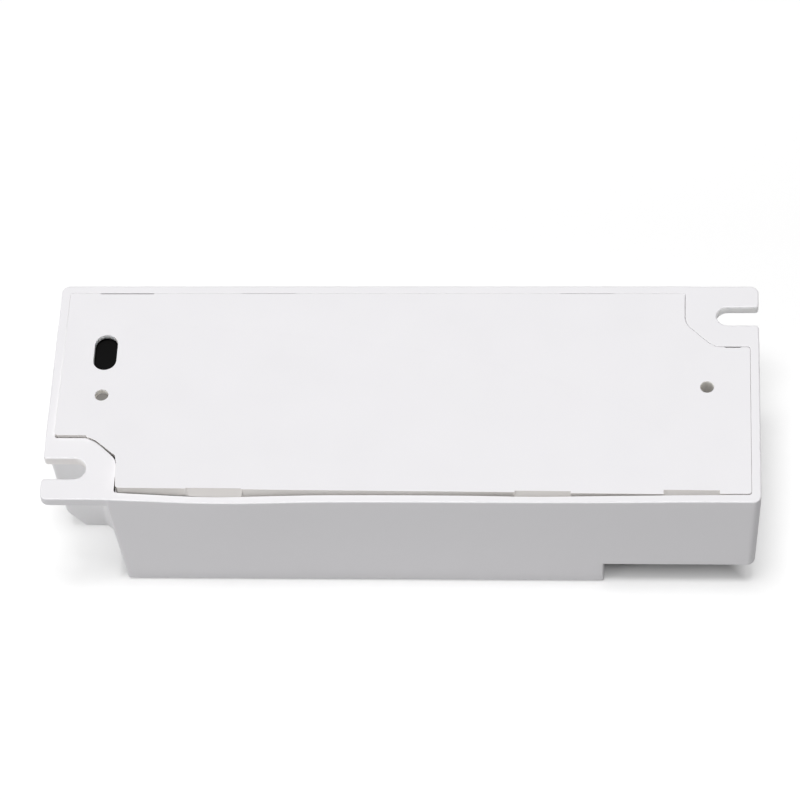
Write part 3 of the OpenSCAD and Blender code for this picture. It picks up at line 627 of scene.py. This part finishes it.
def cover_finish(middle, normal):
    """Finish of a face of the base cover: the edges that show and the notches get darker copies of the
    plastic as painted shade, the diagonal beside the front-left ear gets painted shade, the oval window's
    wall gets painted light, and the two round holes differ.
    """
    x, y, z = middle
    if z < TOP - SEEN_DEPTH or normal.z < -HALFWAY:
        return "white_plastic"
    in_hole = hole_finish(middle, normal)
    if in_hole:
        return in_hole
    if z < LEDGE - NEAR or normal.z > NEARLY_LEVEL:
        return "white_plastic"
    # Painted light: the oval window's wall gets the lighter copy of the plastic
    if in_window(x, y):
        return "thin_edge"
    if x < FRONT_LEFT_X and y < -EAR_SEAM_Y and normal.x < -SLANTED and normal.y < -SLANTED:
        return "seam_shade"
    # Painted shade: the faces of the notches get a darker copy of the plastic
    notches = FRONT_NOTCHES if y < 0 else BACK_NOTCHES
    if abs(y) > OUTER_Y and notch_at(x, notches, FACE_NEAR) is not None:
        return "notch"
    # Painted shade: the cover's steep side faces get a darker copy of the plastic
    return "cover_edge" if normal.z < STEEP else "white_plastic"


# Reshaping of a node

X_AXIS, Y_AXIS, Z_AXIS = range(3)
WELD = 0.06
FLAT_ANGLE = math.radians(0.4)
ROUNDED_ANGLE = math.radians(40)
SHARP_ANGLE = math.radians(34)
ROUNDING_STEPS = 3
ROUND_PROFILE = 0.5
CUT_NEAR = 0.0001


def sliced(bm, axis, places):
    """Cuts all faces by planes across an axis."""
    normal = [float(axis == a) for a in (X_AXIS, Y_AXIS, Z_AXIS)]
    for place in places:
        point = [part * place * MM for part in normal]
        bmesh.ops.bisect_plane(bm, geom=bm.verts[:] + bm.edges[:] + bm.faces[:], dist=CUT_NEAR * MM,
                               plane_co=point, plane_no=normal)


def rounded(bm, radius_at):
    """Rounds the convex edges by the radius that radius_at gives for their middle, and marks level faces."""
    groups = {}
    for edge in bm.edges:
        if len(edge.link_faces) == 2 and edge.is_convex and edge.calc_face_angle(0.0) > ROUNDED_ANGLE:
            middle = (edge.verts[0].co + edge.verts[1].co) / (2 * MM)
            radius = radius_at(*middle)
            if radius:
                groups.setdefault(radius, []).append(edge)
    for radius, edges in sorted(groups.items()):
        bmesh.ops.bevel(bm, geom=[e for e in edges if e.is_valid], offset=radius * MM, offset_type="OFFSET",
                        segments=ROUNDING_STEPS, profile=ROUND_PROFILE, affect="EDGES", clamp_overlap=False)
    level = bm.faces.layers.int.new("level")
    bm.normal_update()
    for face in bm.faces:
        face[level] = abs(face.normal.z) > LEVEL


def sharpened(bm):
    """Keeps the direction of level faces, so that the rounded edges leave no smears on them."""
    level = bm.faces.layers.int["level"]
    for edge in bm.edges:
        same = len({face[level] for face in edge.link_faces}) == 1
        edge.smooth = same and edge.calc_face_angle(0.0) < SHARP_ANGLE
    bm.faces.layers.int.remove(level)


def reshaped(node, piece_name, move, cuts, radius_at, finish_at, finishes):
    """Piece in place of a node, with its edges rounded, cut into a grid and with each point moved."""
    bm = bmesh.new()
    bm.from_mesh(nodes[node].data)
    bmesh.ops.remove_doubles(bm, verts=bm.verts[:], dist=WELD * MM)
    bmesh.ops.dissolve_limit(bm, angle_limit=FLAT_ANGLE, verts=bm.verts[:], edges=bm.edges[:])
    rounded(bm, radius_at)
    for axis, places in cuts.items():
        sliced(bm, axis, places)
    for vert in bm.verts:
        vert.co = Vector(move(*(vert.co / MM))) * MM
    bmesh.ops.triangulate(bm, faces=bm.faces[:])
    bm.normal_update()
    sharpened(bm)
    for face in bm.faces:
        face.smooth = True
        face.material_index = finishes.index(finish_at(face.calc_center_median() / MM, face.normal))
    mesh = bpy.data.meshes.new(piece_name)
    bm.to_mesh(mesh)
    bm.free()
    for finish in finishes:
        mesh.materials.append(FINISHES[finish])
    piece = bpy.data.objects.new(piece_name, mesh)
    scene.collection.objects.link(piece)
    even = piece.modifiers.new("even_normals", "WEIGHTED_NORMAL")
    even.keep_sharp = True
    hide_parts(node)
    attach(piece, "root")


# Housing and base cover, cut finely enough to bend

X_STEP = 4.0
X_SHIFT = 0.5
Y_STEP = 6.0
Z_STEP = 4.0
BESIDE_NOTCH = 0.4
GRID_X = [X_STEP * i + X_SHIFT for i in range(-15, 16)]
GRID_Y = [Y_STEP * i for i in range(-3, 4)]
GRID_Z = [Z_STEP * i for i in range(1, 7)]
notch_reach = NOTCH_HALF + BESIDE_NOTCH
notch_cuts = [notch + side * notch_reach for notch in FRONT_NOTCHES for side in (-1, 1)]
seam_cuts = [WIDE_SEAM_START - 2 * NEAR, WIDE_SEAM_END - NEAR, WIDE_SEAM_END + 2 * NEAR]

housing_cuts = {X_AXIS: GRID_X, Y_AXIS: [BOW_FULL_Y, BOW_FROM_Y], Z_AXIS: GRID_Z}
housing_finishes = ["white_plastic", "thin_edge", "slot_wall", "seam_shade", "bay_plastic"]
reshaped("housing", "housing_body", bowed, housing_cuts, housing_radius, housing_finish, housing_finishes)

cover_cuts = {X_AXIS: GRID_X + notch_cuts + seam_cuts, Y_AXIS: GRID_Y}
cover_finishes = [
    "white_plastic", "cover_edge", "notch", "hole_wall", "hole_floor", "thin_edge", "seam_shade",
]
reshaped("base_cover", "base_cover_plate", lifted, cover_cuts, cover_radius, cover_finish, cover_finishes)


# Finishes of the nodes, and slots of those that aren't replaced

slot_of = {part["node"]: part["material_slot"] for part in frame["record"]["subparts"]}
for name, node in nodes.items():
    node.data.materials.clear()
    node.data.materials.append(FINISHES[slot_of[name]])


# Floor

FLOOR_REACH = 3.0  # metres
PAPER_TONE = 0.62
PAPER_ROUGHNESS = 0.9
PAPER_SHINE = 0.1
SHADE_CENTRE = (4.2, 0.0, 0.0)
SHADE_HALF = (53.0, 18.4, 0.0)
SHADE_FADE = 3.5
SHADE_GLOW = 0.02
OPEN_GLOW = 0.42


def floor_paper():
    """White paper that glows to the camera, but hardly at all under the part, where its shadow lies."""
    material = bpy.data.materials.new("floor_paper")
    material.use_nodes = True
    tree = material.node_tree
    place = added(tree, "ShaderNodeTexCoord", {}).outputs["Object"]
    from_centre = {0: place, 1: Vector(SHADE_CENTRE) * MM}
    centred = added(tree, "ShaderNodeVectorMath", from_centre, "SUBTRACT").outputs["Vector"]
    one_side = added(tree, "ShaderNodeVectorMath", {0: centred}, "ABSOLUTE").outputs["Vector"]
    from_half = {0: one_side, 1: Vector(SHADE_HALF) * MM}
    outside = added(tree, "ShaderNodeVectorMath", from_half, "SUBTRACT").outputs["Vector"]
    parts = added(tree, "ShaderNodeSeparateXYZ", {"Vector": outside}).outputs
    away = added(tree, "ShaderNodeMath", {0: parts["X"], 1: parts["Y"]}, "MAXIMUM").outputs["Value"]
    rising = added(tree, "ShaderNodeMapRange", {
        "Value": away,
        "From Min": 0.0,
        "From Max": SHADE_FADE * MM,
        "To Min": SHADE_GLOW,
        "To Max": OPEN_GLOW,
    }).outputs["Result"]
    ray = added(tree, "ShaderNodeLightPath", {}).outputs
    glow = added(tree, "ShaderNodeMath", {0: ray["Is Camera Ray"], 1: rising}, "MULTIPLY").outputs["Value"]
    feed(tree, tree.nodes["Principled BSDF"], {
        "Base Color": opaque([PAPER_TONE] * 3),
        "Roughness": PAPER_ROUGHNESS,
        "Specular IOR Level": PAPER_SHINE,
        "Emission Color": WHITE,
        "Emission Strength": glow,
    })
    return material


floor_mesh = bpy.data.meshes.new("floor")
corners = [(x * FLOOR_REACH, y * FLOOR_REACH, 0.0) for x, y in ((-1, -1), (1, -1), (1, 1), (-1, 1))]
floor_mesh.from_pydata(corners, [], [(0, 1, 2, 3)])
floor_mesh.materials.append(floor_paper())
floor = bpy.data.objects.new("floor", floor_mesh)
scene.collection.objects.link(floor)


# Light, with places and sizes in metres

DIM_SKY = 0.12
WHITE_SKY = 1.0
LAMP_TARGET = Vector((0.0, 0.0, 0.02))


def studio():
    """Surroundings that are white to look at and in mirrors, and dim as a light."""
    world = bpy.data.worlds.new("studio")
    world.use_nodes = True
    tree = world.node_tree
    dim = tree.nodes["Background"]
    feed(tree, dim, {"Color": WHITE, "Strength": DIM_SKY})
    white = added(tree, "ShaderNodeBackground", {"Color": WHITE, "Strength": WHITE_SKY})
    ray = added(tree, "ShaderNodeLightPath", {}).outputs
    straight = {0: ray["Is Camera Ray"], 1: ray["Is Glossy Ray"]}
    either = added(tree, "ShaderNodeMath", straight, "MAXIMUM").outputs["Value"]
    with_glass = {0: either, 1: ray["Is Transmission Ray"]}
    seen = added(tree, "ShaderNodeMath", with_glass, "MAXIMUM").outputs["Value"]
    skies = {"Fac": seen, 1: dim.outputs["Background"], 2: white.outputs["Background"]}
    blend = added(tree, "ShaderNodeMixShader", skies)
    feed(tree, tree.nodes["World Output"], {"Surface": blend.outputs["Shader"]})
    return world


def lamp(name, place, size, watts):
    """Round lamp aimed at the part."""
    data = bpy.data.lights.new(name, "AREA")
    data.shape = "DISK"
    data.size = size
    data.energy = watts
    light = bpy.data.objects.new(name, data)
    light.location = place
    light.rotation_euler = (LAMP_TARGET - Vector(place)).to_track_quat("-Z", "Y").to_euler()
    scene.collection.objects.link(light)


scene.world = studio()
lamp("key", place=(-0.02, -0.08, 1.3), size=0.5, watts=14.0)
lamp("fill", place=(-1.1, -0.8, 0.35), size=0.6, watts=5.55)


# Camera, fitted to the edges in the photograph

LENS = 168.552
SENSOR_WIDTH = 36.0
CAMERA_PLACE = Vector((47.65, -367.71, 572.1)) * MM
CAMERA_DEGREES = (33.9983, 3.4088, 2.4499)  # about X, Y and Z
CAMERA_TURN = Euler([math.radians(turn) for turn in CAMERA_DEGREES])

camera_data = bpy.data.cameras.new("photo_view")
camera_data.sensor_width = SENSOR_WIDTH
camera_data.lens = LENS
camera = bpy.data.objects.new("photo_view", camera_data)
camera.matrix_world = Matrix.LocRotScale(CAMERA_PLACE, CAMERA_TURN, None)
scene.collection.objects.link(camera)
scene.camera = camera
scene.view_settings.view_transform = "Standard"
